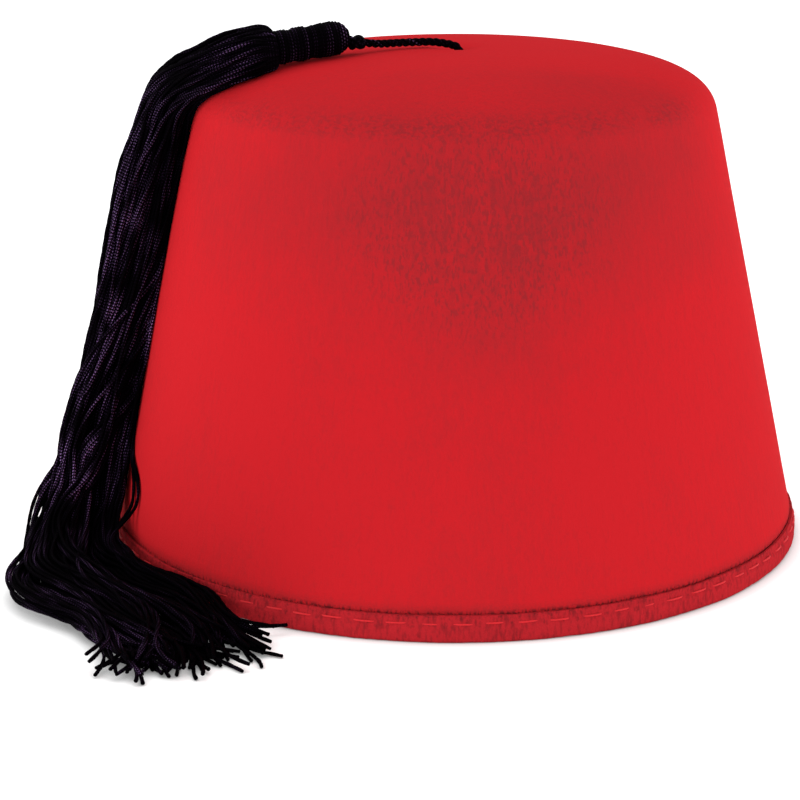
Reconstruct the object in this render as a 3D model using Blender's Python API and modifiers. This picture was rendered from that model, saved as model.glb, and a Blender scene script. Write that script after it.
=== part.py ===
"""A felt fez: a hollow crown, a sewn hem band and a corded tassel.

Metres, +Z up. The origin lies on the hat's axis, in the plane that the hem
stands on. The hat is seen from -Y, and the tassel hangs on its -X side.
"""
import math
from collections import namedtuple

import bmesh
import bpy
from mathutils import Matrix, Vector

MM = 0.001

# ---------------------------------------------------------------- felt body
HEM_RADIUS = 95.0 * MM          # outside of the hem band: a 58 cm head size
HEM_HEIGHT = 6.9 * MM
HEM_THICKNESS = 1.5 * MM
HEM_CORNER = 0.5 * MM
CROWN_HEIGHT = 133.1 * MM
SHOULDER_HEIGHT = 117.0 * MM    # where the straight side starts to round over
SHOULDER_RADIUS = 70.2 * MM
SIDE_FOOT_RADIUS = 93.55 * MM   # the side just above the hem band
SIDE_FOOT_HEIGHT = 7.3 * MM
ROUND_HANDLE = 11.0 * MM        # how far the side runs on into the rounded shoulder
TOP_FLAT_RADIUS = 52.8 * MM     # the part of the top that pulls the shoulder flat
FELT_THICKNESS = 2.2 * MM
DIMPLE_DEPTH = 1.4 * MM         # the cord draws the felt in near the centre of the top
DIMPLE_RADIUS = 4.5 * MM
DIMPLE_RINGS = (0.0 * MM, 2.0 * MM, 4.0 * MM, 6.5 * MM)
DIMPLE_REACH = 9.0 * MM         # the rings within this are drawn towards the dimple
DIMPLE_PLACE = Vector((1.0, -4.6, 0.0)) * MM
SHOULDER_RINGS = 13
SIDE_RINGS = 4
HAT_STEPS = 60

# ---------------------------------------------------------------- clearances
GAP = 0.3 * MM                  # between pieces that touch
CAP_WELD = 0.01 * MM            # joins a tube's end caps to its wall
BEND_ROOM = 0.4 * MM            # more, where a lock bends over the shoulder in flat lengths
BEND_HEIGHT = 105.0 * MM        # the shoulder's bend lies above this height

# ---------------------------------------------------------------- tassel cord
CORD_RADIUS = 1.2 * MM
CORD_POINT_SPACING = 4.0 * MM
# The route lies on the top, from the dimple to the tassel's knot.
CORD_ROUTE = [
    (0.7, -4.6, 133.2),
    (-1.3, -4.5, 134.0),
    (-5.6, -4.3, 134.6),
    (-10.4, -4.8, 134.6),
    (-15.4, -6.6, 134.6),
    (-19.8, -9.2, 134.7),
    (-23.5, -11.2, 135.2),
]

# ---------------------------------------------------------------- tassel head
KNOT_CENTRE = Vector((-26.0, -12.8, 135.6)) * MM
KNOT_RADIUS = 2.5 * MM
HEAD_START = Vector((-28.0, -13.8, 137.2)) * MM
HEAD_END = Vector((-47.3, -20.6, 134.7)) * MM
HEAD_BULGE_LENGTH = 10.4 * MM
HEAD_BULGE_RADIUS = 4.5 * MM
HEAD_BULGE_RINGS = 8
HEAD_BULGE_FULLNESS = 0.45      # 1 is a round ball, less is a fuller barrel
HEAD_WRAP_RADIUS = 4.3 * MM
HEAD_GROOVE_DEPTH = 0.35 * MM
HEAD_WRAPS = 2
HEAD_WRAP_FLAT = (0.3, 0.7)     # where a wrap's flat stretch starts and ends
HEAD_STEPS = 20

# ---------------------------------------------------------------- tassel skirt
# A row for each section of the skirt, in millimetres, from the head over the
# shoulder, down the side and round the hem on the floor. "out" is half the
# bundle's size away from the hat, "across" is half its other size.
Section = namedtuple("Section", "x y z out across")
SKIRT = [
    Section(-44.6, -19.4, 134.7, 3.4, 3.4),
    Section(-50.5, -23.0, 134.9, 6.0, 7.5),
    Section(-56.5, -25.0, 133.7, 6.1, 7.7),
    Section(-62.3, -24.2, 131.0, 5.9, 6.5),
    Section(-68.2, -19.8, 127.4, 6.2, 6.2),
    Section(-74.1, -14.8, 121.4, 7.0, 6.4),
    Section(-78.0, -11.4, 111.6, 7.2, 6.8),
    Section(-82.0, -10.2, 98.5, 8.0, 6.8),
    Section(-86.0, -9.8, 77.3, 8.9, 6.9),
    Section(-89.8, -11.2, 55.4, 9.9, 7.5),
    Section(-93.5, -13.6, 38.5, 11.0, 8.0),
    Section(-96.4, -17.8, 25.0, 11.4, 8.0),
    Section(-98.2, -24.2, 16.5, 11.8, 7.5),
    Section(-100.0, -31.0, 10.8, 12.2, 6.6),
    Section(-100.8, -39.0, 7.2, 12.4, 5.6),
    Section(-100.0, -48.0, 5.6, 13.0, 5.0),
    Section(-97.0, -57.5, 4.8, 18.2, 4.6),
    Section(-90.0, -66.0, 4.5, 18.2, 4.4),
    Section(-81.5, -75.0, 4.2, 17.8, 4.0),
    Section(-74.5, -83.5, 3.8, 18.4, 3.5),
    Section(-69.2, -91.5, 3.2, 18.6, 2.9),
    Section(-65.0, -99.5, 2.6, 20.0, 2.3),
    Section(-61.4, -107.5, 2.0, 21.6, 1.7),
    Section(-57.7, -116.0, 1.4, 23.4, 1.2),
    Section(-54.0, -125.0, 1.0, 25.0, 0.8),
]
# The skirt's strands hang in locks: a ring of them round a few inner ones.
LockRing = namedtuple("LockRing", "count reach radius wander")
LOCK_RINGS = [
    LockRing(count=9, reach=0.70, radius=2.7, wander=0.30),
    LockRing(count=3, reach=0.24, radius=2.8, wander=0.50),
]
LOCK_LENGTH = 248.0 * MM
LOCK_LENGTH_SPREAD = 6.0 * MM
LOCK_LENGTH_STEP = 2.6          # radians from one lock's place in that spread to the next
LOCK_DRIFT_TURNS = 1.3          # how often a lock wanders to and fro along its length
LOCK_DRIFT_STEP = 1 / 7         # turns from one lock's drift to the next
LOCK_STATIONS = 25
LOCK_ROOT_STATIONS = 2          # stations in which a lock swells to its full radius
LOCK_ROOT_SHARE = 0.55          # of that radius, where it leaves the head
LOCK_TIP_SHARE = 0.2            # of its length, over which it narrows
LOCK_TIP_RADIUS = 1.5 * MM
LANDING_HEIGHT = 26.0 * MM      # the locks spread out side by side below this height
FLOOR_HEIGHT = 8.0 * MM
FLOOR_REACH = 0.85
CORE_HEIGHT = 60.0 * MM         # "out" points away from the axis, at up to this height
TASSEL_FACES_KEPT = 0.66        # the rest are slivers that the unions leave
SHARP_ANGLE = math.radians(50)

CURVE_SAMPLES = 8               # between two rows of a table, on a smooth curve

COLLECTION = "fez_hat"


# ---------------------------------------------------------------- scene helpers
def clear_scene():
    for obj in list(bpy.data.objects):
        bpy.data.objects.remove(obj, do_unlink=True)


def make_collection(name):
    collection = bpy.data.collections.new(name)
    bpy.context.scene.collection.children.link(collection)
    return collection


def make_material(name, colour, roughness):
    material = bpy.data.materials.new(name)
    material.use_nodes = True
    shader = material.node_tree.nodes["Principled BSDF"]
    shader.inputs["Base Color"].default_value = (*colour, 1.0)
    shader.inputs["Roughness"].default_value = roughness
    shader.inputs["Metallic"].default_value = 0.0
    return material


def add_object(name, data, collection, material):
    data.materials.append(material)
    obj = bpy.data.objects.new(name, data)
    collection.objects.link(obj)
    return obj


def smooth_curve(points):
    """A Catmull-Rom curve through the points, as a line of closer points."""
    curve = []
    last = len(points) - 1
    for i in range(last):
        p0 = points[max(i - 1, 0)]
        p1 = points[i]
        p2 = points[i + 1]
        p3 = points[min(i + 2, last)]
        for k in range(CURVE_SAMPLES):
            t = k / CURVE_SAMPLES
            bend = (2 * p0 - 5 * p1 + 4 * p2 - p3) * t * t
            twist = (3 * p1 - p0 - 3 * p2 + p3) * t * t * t
            curve.append(0.5 * (2 * p1 + (p2 - p0) * t + bend + twist))
    curve.append(points[last])
    return curve


def resample(points, count):
    """Read count points, evenly spaced by length, from a line of points."""
    lengths = [0.0]
    for a, b in zip(points, points[1:]):
        lengths.append(lengths[-1] + (b - a).length)
    result = []
    k = 0
    for i in range(count):
        target = lengths[-1] * i / (count - 1)
        while k < len(points) - 2 and lengths[k + 1] < target:
            k += 1
        span = lengths[k + 1] - lengths[k]
        result.append(points[k].lerp(points[k + 1], (target - lengths[k]) / span))
    return result


def line_length(points):
    return sum((b - a).length for a, b in zip(points, points[1:]))


# ---------------------------------------------------------------- shape helpers
def turned(name, outline, steps, collection, material, closed=False):
    """Turn an (r, z) outline, listed from top to bottom, about the Z axis."""
    mesh = bpy.data.meshes.new(name)
    points = [(r, 0.0, z) for r, z in outline]
    edges = [(i, i + 1) for i in range(len(points) - 1)]
    if closed:
        edges.append((len(points) - 1, 0))
    mesh.from_pydata(points, edges, [])
    obj = add_object(name, mesh, collection, material)
    screw = obj.modifiers.new("turn", "SCREW")
    screw.angle = math.tau
    screw.steps = steps
    screw.render_steps = steps
    screw.use_merge_vertices = True
    screw.merge_threshold = 0.00001
    screw.use_smooth_shade = True
    return obj


def tube(name, points, radii, resolution, collection, material):
    """A round tube along the points, with its own radius at each one."""
    curve = bpy.data.curves.new(name, "CURVE")
    curve.dimensions = "3D"
    curve.bevel_depth = 1.0
    curve.bevel_resolution = resolution
    curve.use_fill_caps = True
    spline = curve.splines.new("POLY")
    spline.points.add(len(points) - 1)
    for spline_point, point, radius in zip(spline.points, points, radii):
        spline_point.co = (*point, 1.0)
        spline_point.radius = radius
    return add_object(name, curve, collection, material)


def as_mesh(obj, collection, weld=None):
    """Replace an object by the triangles that it evaluates to, with loose caps welded."""
    depsgraph = bpy.context.evaluated_depsgraph_get()
    mesh = bpy.data.meshes.new_from_object(obj.evaluated_get(depsgraph))
    working = bmesh.new()
    working.from_mesh(mesh)
    if weld:
        bmesh.ops.remove_doubles(working, verts=working.verts, dist=weld)
    bmesh.ops.triangulate(working, faces=working.faces)
    working.to_mesh(mesh)
    working.free()
    name = obj.name
    place = obj.matrix_world.copy()
    bpy.data.objects.remove(obj, do_unlink=True)
    result = bpy.data.objects.new(name, mesh)
    result.matrix_world = place
    collection.objects.link(result)
    return result


def fuse(base, piece, collection):
    """Join a piece to the base by a Boolean union, and remove the piece."""
    union = base.modifiers.new("fuse", "BOOLEAN")
    union.operation = "UNION"
    union.solver = "MANIFOLD"    # every piece is closed, and this one repeats exactly
    union.object = piece
    bpy.context.view_layer.update()
    fused = as_mesh(base, collection)
    bpy.data.objects.remove(piece, do_unlink=True)
    return fused


def keep_outer_shell(obj):
    """Delete the small closed shells that the unions leave between the locks."""
    working = bmesh.new()
    working.from_mesh(obj.data)
    shells = []
    unseen = set(working.verts)
    while unseen:
        front = [unseen.pop()]
        shell = list(front)
        while front:
            for edge in front.pop().link_edges:
                for vert in edge.verts:
                    if vert in unseen:
                        unseen.remove(vert)
                        shell.append(vert)
                        front.append(vert)
        shells.append(shell)
    shells.sort(key=len)
    for shell in shells[:-1]:
        bmesh.ops.delete(working, geom=shell, context="VERTS")
    working.to_mesh(obj.data)
    working.free()


# ---------------------------------------------------------------- crown and hem
def dimple(radius):
    return DIMPLE_DEPTH * math.exp(-((radius / DIMPLE_RADIUS) ** 2))


def crown_outline():
    """The felt's outer side, (r, z) from the centre of the top down to the rim."""
    side = Vector((SHOULDER_RADIUS - SIDE_FOOT_RADIUS, SHOULDER_HEIGHT - SIDE_FOOT_HEIGHT))
    p0 = Vector((SHOULDER_RADIUS, SHOULDER_HEIGHT))
    p1 = p0 + side.normalized() * ROUND_HANDLE
    p2 = Vector((TOP_FLAT_RADIUS, CROWN_HEIGHT))
    p3 = Vector((0.0, CROWN_HEIGHT))
    rounding = []
    for i in range(SHOULDER_RINGS):
        t = i / (SHOULDER_RINGS + 1)
        s = 1 - t
        rounding.append(s ** 3 * p0 + 3 * s * s * t * p1 + 3 * s * t * t * p2 + t ** 3 * p3)
    outline = [(r, CROWN_HEIGHT - dimple(r)) for r in DIMPLE_RINGS]
    outline += [(p.x, p.y) for p in reversed(rounding)]
    for i in range(1, SIDE_RINGS + 1):
        p = p0 - side * (i / SIDE_RINGS)
        outline.append((p.x, p.y))
    foot_radius = HEM_RADIUS - HEM_THICKNESS - GAP
    outline.append((foot_radius, HEM_HEIGHT - GAP))
    outline.append((foot_radius, 0.0))
    return outline


def hem_outline():
    """The hem band's section, a closed loop from its top outer corner downwards."""
    inner = HEM_RADIUS - HEM_THICKNESS
    return [
        (HEM_RADIUS - HEM_CORNER, HEM_HEIGHT),
        (HEM_RADIUS, HEM_HEIGHT - HEM_CORNER),
        (HEM_RADIUS, HEM_CORNER),
        (HEM_RADIUS - HEM_CORNER, 0.0),
        (inner, 0.0),
        (inner, HEM_HEIGHT),
    ]


def make_crown(collection, felt):
    crown = turned("crown", crown_outline(), HAT_STEPS, collection, felt)
    crown = as_mesh(crown, collection)
    for vert in crown.data.vertices:
        pull = max(0.0, 1 - math.hypot(vert.co.x, vert.co.y) / DIMPLE_REACH)
        if vert.co.z > SHOULDER_HEIGHT:
            vert.co += DIMPLE_PLACE * pull
    crown.data.shade_smooth()
    wall = crown.modifiers.new("felt", "SOLIDIFY")
    wall.thickness = FELT_THICKNESS
    wall.offset = -1.0
    wall.use_even_offset = True
    return crown


def make_hem_band(collection, felt):
    return turned("hem_band", hem_outline(), HAT_STEPS, collection, felt, closed=True)


# ---------------------------------------------------------------- tassel
def clear_of_hat(point, distance):
    """Move a point out until it lies at least this far from the hat and the floor."""
    outline = crown_outline()[:-2] + hem_outline()[:3]
    place = Vector((math.hypot(point.x, point.y), point.z))
    best = None
    for a, b in zip(outline, outline[1:]):
        start = Vector(a)
        run = Vector(b) - start
        t = min(max((place - start).dot(run) / run.length_squared, 0.0), 1.0)
        nearest = start + run * t
        if best is None or (place - nearest).length < best[0]:
            outward = Vector((-run.y, run.x)).normalized()
            best = ((place - nearest).length, nearest, outward)
    reach, nearest, outward = best
    if (place - nearest).dot(outward) < 0 or reach < distance:
        place = nearest + outward * distance
    height = max(place.y, distance)
    turn = math.atan2(point.y, point.x)
    return Vector((place.x * math.cos(turn), place.x * math.sin(turn), height))


class SkirtCurve:
    """A smooth run through the skirt's sections, with its sizes and directions."""

    def __init__(self):
        self.centres = smooth_curve([Vector((s.x, s.y, s.z)) * MM for s in SKIRT])
        self.sizes = smooth_curve([Vector((s.out, s.across)) * MM for s in SKIRT])

    def directions(self, i):
        """The run's own direction, the one away from the hat, and the one across."""
        before = self.centres[max(i - 1, 0)]
        after = self.centres[min(i + 1, len(self.centres) - 1)]
        along = (after - before).normalized()
        centre = self.centres[i]
        out = centre - Vector((0.0, 0.0, min(centre.z, CORE_HEIGHT)))
        out = (out - along * out.dot(along)).normalized()
        return along, out, along.cross(out)

    def line(self, turn, ring, phase, floor_place):
        """The line of one lock: it drifts round the bundle, then lies in its place."""
        points = []
        for i, centre in enumerate(self.centres):
            share = i / (len(self.centres) - 1)
            drift = math.tau * (LOCK_DRIFT_TURNS * share + phase)
            angle = turn + ring.wander * math.sin(drift)
            landed = (LANDING_HEIGHT - centre.z) / (LANDING_HEIGHT - FLOOR_HEIGHT)
            landed = min(max(landed, 0.0), 1.0)
            hanging = ring.reach * math.cos(angle)
            out_share = hanging + (FLOOR_REACH * floor_place - hanging) * landed
            _, out, across = self.directions(i)
            half = self.sizes[i]
            offset = out * half.x * out_share
            points.append(centre + offset + across * half.y * ring.reach * math.sin(angle))
        return points


def cut_to_length(points, length):
    """Keep the first part of a line, of this length."""
    kept = [points[0]]
    left = length
    for a, b in zip(points, points[1:]):
        step = (b - a).length
        if step >= left:
            kept.append(a.lerp(b, left / step))
            break
        kept.append(b)
        left -= step
    return kept


def lock_rows():
    """Each lock's ring, its turn round the bundle and its place across the floor."""
    rows = []
    for ring in LOCK_RINGS:
        for k in range(ring.count):
            rows.append((ring, math.tau * k / ring.count))
    order = sorted(range(len(rows)), key=lambda k: rows[k][0].reach * math.cos(rows[k][1]))
    places = [0.0] * len(rows)
    for rank, k in enumerate(order):
        places[k] = -1.0 + 2.0 * rank / (len(rows) - 1)
    return [(ring, turn, place) for (ring, turn), place in zip(rows, places)]


def lock_radius(ring, station):
    """A lock swells out of the head, keeps its radius and narrows to its tip."""
    swollen = min(1.0, station / LOCK_ROOT_STATIONS)
    full = ring.radius * MM * (LOCK_ROOT_SHARE + (1 - LOCK_ROOT_SHARE) * swollen)
    share = station / (LOCK_STATIONS - 1)
    narrowed = max(0.0, share - (1 - LOCK_TIP_SHARE)) / LOCK_TIP_SHARE
    return full + (LOCK_TIP_RADIUS - full) * narrowed


def make_locks(collection, yarn):
    skirt = SkirtCurve()
    locks = []
    for number, (ring, turn, floor_place) in enumerate(lock_rows()):
        line = skirt.line(turn, ring, number * LOCK_DRIFT_STEP, floor_place)
        spread = LOCK_LENGTH_SPREAD * math.sin(number * LOCK_LENGTH_STEP)
        points = resample(cut_to_length(line, LOCK_LENGTH + spread), LOCK_STATIONS)
        radii = [lock_radius(ring, i) for i in range(LOCK_STATIONS)]
        for i, (point, radius) in enumerate(zip(points, radii)):
            room = GAP + (BEND_ROOM if point.z > BEND_HEIGHT else 0.0)
            points[i] = clear_of_hat(point, radius + room)
        lock = tube("lock_%02d" % number, points, radii, 2, collection, yarn)
        locks.append(as_mesh(lock, collection, weld=CAP_WELD))
    return locks


def head_outline():
    """The wound head, (r, z) from its cord end at z = 0 down to the skirt."""
    length = (HEAD_END - HEAD_START).length
    bulge_middle = HEAD_BULGE_LENGTH / 2
    outline = [(0.0, 0.0)]
    for i in range(1, HEAD_BULGE_RINGS):
        angle = math.pi * i / HEAD_BULGE_RINGS
        radius = HEAD_BULGE_RADIUS * math.sin(angle) ** HEAD_BULGE_FULLNESS
        outline.append((radius, -bulge_middle * (1 - math.cos(angle))))
    wrap_length = (length - HEAD_BULGE_LENGTH) / HEAD_WRAPS
    for i in range(HEAD_WRAPS):
        top = -HEAD_BULGE_LENGTH - wrap_length * i
        outline.append((HEAD_WRAP_RADIUS - HEAD_GROOVE_DEPTH, top))
        for share in HEAD_WRAP_FLAT:
            outline.append((HEAD_WRAP_RADIUS, top - wrap_length * share))
    outline.append((HEAD_WRAP_RADIUS - HEAD_GROOVE_DEPTH, -length))
    outline.append((0.0, -length))
    return outline


def make_head(collection, yarn):
    head = turned("tassel", head_outline(), HEAD_STEPS, collection, yarn)
    towards_cord = (HEAD_START - HEAD_END).normalized()
    turn = towards_cord.to_track_quat("Z", "Y").to_matrix().to_4x4()
    head.matrix_world = Matrix.Translation(HEAD_START) @ turn
    bpy.context.view_layer.update()
    return as_mesh(head, collection, weld=CAP_WELD)


def make_knot(collection, yarn):
    mesh = bpy.data.meshes.new("knot")
    working = bmesh.new()
    bmesh.ops.create_uvsphere(working, u_segments=12, v_segments=8, radius=KNOT_RADIUS)
    bmesh.ops.translate(working, verts=working.verts, vec=KNOT_CENTRE)
    working.to_mesh(mesh)
    working.free()
    return add_object("knot", mesh, collection, yarn)


def make_tassel(collection, yarn):
    """The head, its knot and the skirt's locks, fused into one body."""
    tassel = make_head(collection, yarn)
    tassel = fuse(tassel, make_knot(collection, yarn), collection)
    for lock in make_locks(collection, yarn):
        tassel = fuse(tassel, lock, collection)
    keep_outer_shell(tassel)
    collapse = tassel.modifiers.new("collapse", "DECIMATE")
    collapse.ratio = TASSEL_FACES_KEPT
    tassel = as_mesh(tassel, collection)
    tassel.data.materials.clear()
    tassel.data.materials.append(yarn)
    tassel.data.shade_smooth()
    tassel.data.set_sharp_from_angle(angle=SHARP_ANGLE)
    return tassel


def make_cord(collection, yarn):
    route = [Vector(p) * MM for p in CORD_ROUTE]
    count = round(line_length(route) / CORD_POINT_SPACING) + 1
    points = resample(smooth_curve(route), count)
    return tube("tassel_cord", points, [CORD_RADIUS] * count, 2, collection, yarn)


def main():
    clear_scene()
    collection = make_collection(COLLECTION)
    felt = make_material("red_felt", (0.62, 0.016, 0.023), 0.95)
    hem_felt = make_material("hem_felt", (0.46, 0.018, 0.026), 0.98)
    yarn = make_material("violet_black_yarn", (0.012, 0.007, 0.022), 0.55)
    make_crown(collection, felt)
    make_hem_band(collection, hem_felt)
    make_cord(collection, yarn)
    make_tassel(collection, yarn)


main()
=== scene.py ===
# %% [markdown]
# # A red felt fez with a corded tassel
#
# A fez is a stiff cone of pressed wool felt with its tip cut flat. A strip of the
# same felt is sewn round its foot, and a tassel of thin knitted cords hangs from
# the middle of the top, over the shoulder and down one side.
#
# The frame below holds the plain solids of the hat, at their real size and place.
# This lesson dresses them: every piece is modelled again with the shape that the
# eye sees, and gets a felt, thread or yarn finish made from shader nodes.

# %% Load the frame
import math
from collections import namedtuple

import bpy
import numpy as np
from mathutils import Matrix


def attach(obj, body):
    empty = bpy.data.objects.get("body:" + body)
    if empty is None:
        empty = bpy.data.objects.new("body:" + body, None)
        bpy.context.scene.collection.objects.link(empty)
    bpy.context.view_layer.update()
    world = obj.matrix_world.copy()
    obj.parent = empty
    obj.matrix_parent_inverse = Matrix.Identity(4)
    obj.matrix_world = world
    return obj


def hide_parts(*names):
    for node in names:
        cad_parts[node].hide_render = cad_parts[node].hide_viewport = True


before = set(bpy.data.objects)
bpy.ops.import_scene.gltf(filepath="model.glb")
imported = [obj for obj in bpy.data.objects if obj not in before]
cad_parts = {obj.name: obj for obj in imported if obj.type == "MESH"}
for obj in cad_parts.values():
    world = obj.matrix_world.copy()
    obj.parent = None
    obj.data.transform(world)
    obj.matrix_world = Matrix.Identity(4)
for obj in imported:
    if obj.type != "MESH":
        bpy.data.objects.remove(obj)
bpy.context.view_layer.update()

MM = 0.001
print("nodes of the frame:", sorted(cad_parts))

# %% [markdown]
# ## The camera
#
# The hat is seen from a little above its top, from about three hat widths away.
# Such a near view makes the foot look wider than a far one would, so the distance
# matters as much as the angle. The lens then follows from how large the hat is in
# the picture: it is the focal length, counted in pixels, times the sensor's width
# over the picture's width. A small shift puts the hat right of the middle.

# %% Camera
PICTURE_SIDE = 800
FOCAL_PIXELS = 2313.1
HAT_AXIS_PIXEL = 454.5
SENSOR = 36.0
CAMERA_DISTANCE = 0.620
CAMERA_HEIGHT = 0.2099
CAMERA_DIP = 0.2753  # radians below the horizon

scene = bpy.context.scene
lens = bpy.data.cameras.new("camera")
lens.sensor_width = SENSOR
lens.lens = FOCAL_PIXELS * SENSOR / PICTURE_SIDE
lens.shift_x = (PICTURE_SIDE / 2 - HAT_AXIS_PIXEL) / PICTURE_SIDE
lens.clip_start = 0.01
camera = bpy.data.objects.new("camera", lens)
camera.location = (0.0, -CAMERA_DISTANCE, CAMERA_HEIGHT)
camera.rotation_euler = (math.pi / 2 - CAMERA_DIP, 0.0, 0.0)
scene.collection.objects.link(camera)
scene.camera = camera
scene.view_settings.view_transform = "Standard"
print("lens: %.1f mm" % lens.lens)

# %% [markdown]
# ## Numbers along a line
#
# The cord, the tassel's head and every strand of its skirt follow lines. A short
# table gives the few places that matter, and a Catmull-Rom curve runs smoothly
# through them. NumPy keeps a line as an array with a row for each point, so the
# same few helpers serve one line or more than a hundred at once.

# %% Line helpers
SAMPLES_PER_ROW = 8


def smooth_rows(rows):
    """A smooth curve through the rows of a table."""
    rows = np.array(rows, float)
    last = len(rows) - 1
    samples = []
    for i in range(last):
        p0, p1, p2, p3 = (rows[min(max(k, 0), last)] for k in range(i - 1, i + 3))
        for t in np.arange(SAMPLES_PER_ROW) / SAMPLES_PER_ROW:
            bend = (2 * p0 - 5 * p1 + 4 * p2 - p3) * t * t
            twist = (3 * p1 - p0 - 3 * p2 + p3) * t ** 3
            samples.append(0.5 * (2 * p1 + (p2 - p0) * t + bend + twist))
    samples.append(rows[last])
    return np.array(samples)


def reach_along(points):
    """How far along the line each of its points lies."""
    steps = np.linalg.norm(np.diff(points[:, :3], axis=0), axis=1)
    return np.concatenate([[0.0], np.cumsum(steps)])


def at_stations(points, stations):
    """The line's points at these distances along it."""
    reach = reach_along(points)
    return np.stack([np.interp(stations, reach, column) for column in points.T], axis=1)


def respaced(points, count):
    """The same line with this many evenly spaced points."""
    return at_stations(points, np.linspace(0.0, reach_along(points)[-1], count))


def unit(vectors):
    """The vectors at a length of one."""
    return vectors / np.linalg.norm(vectors, axis=-1, keepdims=True)


def frames_along(line):
    """Two directions square to the line at each point, which don't spin about it."""
    along = unit(np.gradient(line, axis=0))
    side = np.zeros_like(line)
    guess = np.array([0.31, 0.17, 0.93])
    for i, direction in enumerate(along):
        guess = guess - direction * (guess @ direction)
        guess = guess / np.linalg.norm(guess)
        side[i] = guess
    return side, np.cross(along, side)

# %% [markdown]
# ## Round cords as meshes
#
# Blender can bevel a curve into a tube, but a knitted cord needs its own UV map:
# one direction round the cord, the other counting stitches along it. The first
# also counts the cords, so that each may get its own painted shine. So the tubes
# here are meshes. Each line is wrapped in rings of points, neighbouring rings are
# joined by quads, and each end is closed by a small fan of triangles.

# %% Tube helper
STITCH_LENGTH = 0.85 * MM  # one knitted loop of the yarn


def add_mesh(name, corners, faces, uvs=None):
    """A new smooth piece made of these corners and faces."""
    mesh = bpy.data.meshes.new(name)
    mesh.from_pydata(corners, [], faces)
    if uvs is not None:
        layer = mesh.uv_layers.new(name="yarn")
        layer.data.foreach_set("uv", uvs)
    mesh.shade_smooth()
    piece = bpy.data.objects.new(name, mesh)
    scene.collection.objects.link(piece)
    return piece


def cords(name, lines, radii, sides=6, squash=1.0, spin=0.0):
    """One mesh with a round cord along each line. All lines have as many points."""
    count = len(lines[0])
    turns = math.tau * np.arange(sides) / sides
    corners, faces, uvs = [], [], []
    for number, (line, radius) in enumerate(zip(lines, radii)):
        side, other = frames_along(line)
        reach = reach_along(line)
        lean = spin * reach + number
        wide = np.cos(turns)[None, :] * radius[:, None]
        tall = np.sin(turns)[None, :] * radius[:, None] * squash
        first = wide * np.cos(lean)[:, None] - tall * np.sin(lean)[:, None]
        second = wide * np.sin(lean)[:, None] + tall * np.cos(lean)[:, None]
        rings = line[:, None] + side[:, None] * first[..., None] + other[:, None] * second[..., None]
        ends = line[[0, -1]] + 0.5 * radius[[0, -1], None] * unit(line[[0, -1]] - line[[1, -2]])
        start = len(corners)
        corners.extend(rings.reshape(-1, 3).tolist())
        corners.extend(ends.tolist())
        stitches = reach / STITCH_LENGTH
        for i in range(count - 1):
            for k in range(sides):
                a = start + i * sides + k
                b = start + i * sides + (k + 1) % sides
                faces.append((a, b, b + sides, a + sides))
                left, right = number + k / sides, number + (k + 1) / sides
                low, high = stitches[i], stitches[i + 1]
                uvs += (left, low, right, low, right, high, left, high)
        tip = start + count * sides
        last = tip - sides
        for k in range(sides):
            follower = (k + 1) % sides
            faces.append((start + follower, start + k, tip))
            faces.append((last + k, last + follower, tip + 1))
            uvs += (number, stitches[0]) * 3 + (number, stitches[-1]) * 3
    return add_mesh(name, corners, faces, uvs)

# %% [markdown]
# ## The tassel's cord
#
# Three knitted cords twisted round each other run from a dimple, a little in front
# of the top's middle, to the tassel's knot. The whole cord shows, from the felt to
# the knot, so its length is read from the picture. It could be one tube with a
# bump, but a twist catches the light on each ply, so the plies are modelled. They
# circle the cord's centreline, a third of a turn apart.

# %% Twisted cord
CORD_PLIES = 3
CORD_PLY_RADIUS = 0.52 * MM
CORD_PLY_OFFSET = 0.58 * MM
CORD_TWIST = 5.4 * MM  # one turn of the plies
CORD_EXIT = np.array([1.3, -4.6, 132.2]) * MM
CORD_POINTS = 110
CordRow = namedtuple("CordRow", "x y z")
# From inside the felt, over the top, to the middle of the knot.
CORD_ROUTE = [
    CordRow(2.2, -4.6, 130.6),
    CordRow(0.7, -4.6, 133.2),
    CordRow(-1.3, -4.5, 134.0),
    CordRow(-5.6, -4.3, 134.6),
    CordRow(-10.4, -4.8, 134.6),
    CordRow(-15.4, -6.6, 134.6),
    CordRow(-19.8, -9.2, 134.7),
    CordRow(-23.5, -11.2, 135.2),
    CordRow(-25.9, -12.5, 135.5),
]


def twisted(line, plies, offset, pitch):
    """Lines that circle a line, evenly spread round it."""
    side, other = frames_along(line)
    turn = math.tau * reach_along(line) / pitch
    result = []
    for k in range(plies):
        angle = (turn + math.tau * k / plies)[:, None]
        result.append(line + offset * (side * np.cos(angle) + other * np.sin(angle)))
    return result


cord_line = respaced(smooth_rows(CORD_ROUTE) * MM, CORD_POINTS)
plies = twisted(cord_line, CORD_PLIES, CORD_PLY_OFFSET, CORD_TWIST)
ply_radii = [np.full(CORD_POINTS, CORD_PLY_RADIUS)] * CORD_PLIES
cord = cords("tassel_cord_twist", plies, ply_radii, sides=10)

# %% [markdown]
# ## Modelling by hand, in code
#
# Operators such as extrude and bevel act on whatever is selected, so each piece
# starts from an empty selection. The hat's round pieces start as one circle at
# the foot. It is extruded upwards ring by ring, and each new ring is scaled to
# the radius that the outline gives, which is how a hat maker's block narrows.

# %% Operator helpers
def start_fresh():
    """Leave edit mode and deselect everything."""
    if bpy.context.object and bpy.context.object.mode != "OBJECT":
        bpy.ops.object.mode_set(mode="OBJECT")
    bpy.ops.object.select_all(action="DESELECT")


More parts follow.
